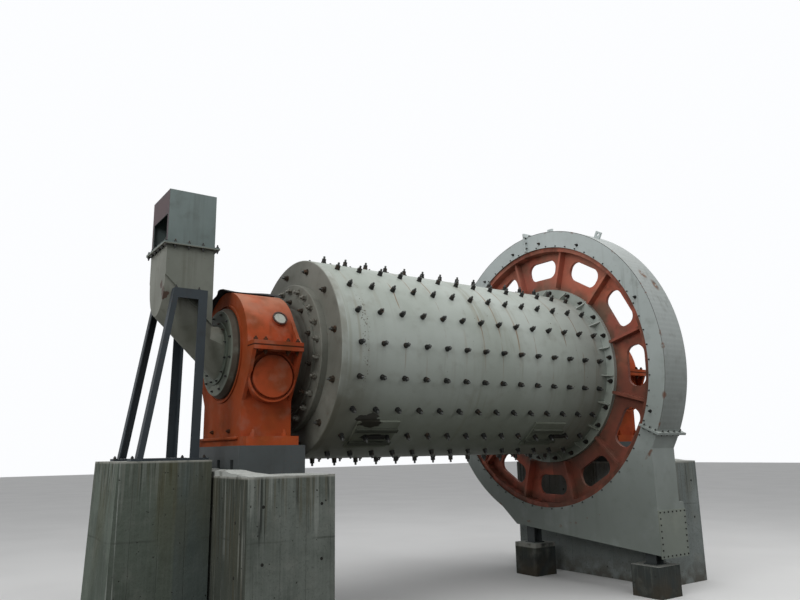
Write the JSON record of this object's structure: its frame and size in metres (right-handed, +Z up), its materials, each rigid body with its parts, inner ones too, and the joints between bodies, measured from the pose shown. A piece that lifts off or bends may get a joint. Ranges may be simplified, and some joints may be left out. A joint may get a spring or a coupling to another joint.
{
  "type": "ball mill",
  "caption": "Horizontal grinding drum with trunnion bearings, girth gear in a split guard and a feed chute, on concrete piers.",
  "frame": {"origin": "on the ground under the feed bearing's centre, in the mill's middle plane", "axes": "+X along the mill's axis from the feed end to the discharge end, +Y towards the far side, +Z up"},
  "size_m": [6.67, 3.7258, 4.4445],
  "materials": {
    "concrete": "board-marked cast concrete, streaked",
    "grey_steel": "dusty grey paint",
    "orange_casting": "orange paint on castings, dusty",
    "gear_red": "red-orange primer, greased and dusty",
    "shell_cream": "cream-grey paint with rust runs",
    "head_grey": "dusty beige-grey paint",
    "guard_cream": "light grey-cream paint, stained",
    "dark_steel": "dark blue-grey paint",
    "manhole_steel": "dark, dirty steel",
    "black_rubber": "matt black rubber mat"
  },
  "bodies": {
    "foundation": {"feed_pier": "concrete", "discharge_pier": "concrete", "chute_pedestal": "concrete", "footing_near": "concrete", "footing_far": "concrete", "feed_sole_plate": "grey_steel", "discharge_sole_plate": "grey_steel", "feed_bearing_base": "orange_casting", "discharge_bearing_base": "orange_casting", "feed_bearing_cap": "orange_casting", "discharge_bearing_cap": "orange_casting", "feed_seal_ring": "grey_steel", "discharge_seal_ring": "grey_steel", "bearing_mat": "black_rubber", "guard_crown_near": "guard_cream", "guard_crown_far": "guard_cream", "guard_lower": "guard_cream", "inspection_panel": "guard_cream", "guard_leg_near": "dark_steel", "guard_leg_far": "dark_steel", "chute_head_box": "grey_steel", "chute_body": "grey_steel", "chute_spout": "grey_steel", "chute_frame_near": "dark_steel", "chute_frame_far": "dark_steel", "frame_base_bars": "dark_steel"},
    "drum": {"feed_head": "head_grey", "discharge_head": "head_grey", "mill_shell": "shell_cream", "shell_flange": "shell_cream", "manhole_cover_feed": "manhole_steel", "manhole_cover_discharge": "manhole_steel", "feed_trunnion": "head_grey", "discharge_trunnion": "head_grey", "girth_gear": "gear_red"}
  },
  "joints": [
    {"name": "drum_spin", "type": "hinge", "parent": "foundation", "child": "drum", "pos_m": [0, 0, 2.5], "axis": [1, 0, 0], "continuous": true}
  ]
}
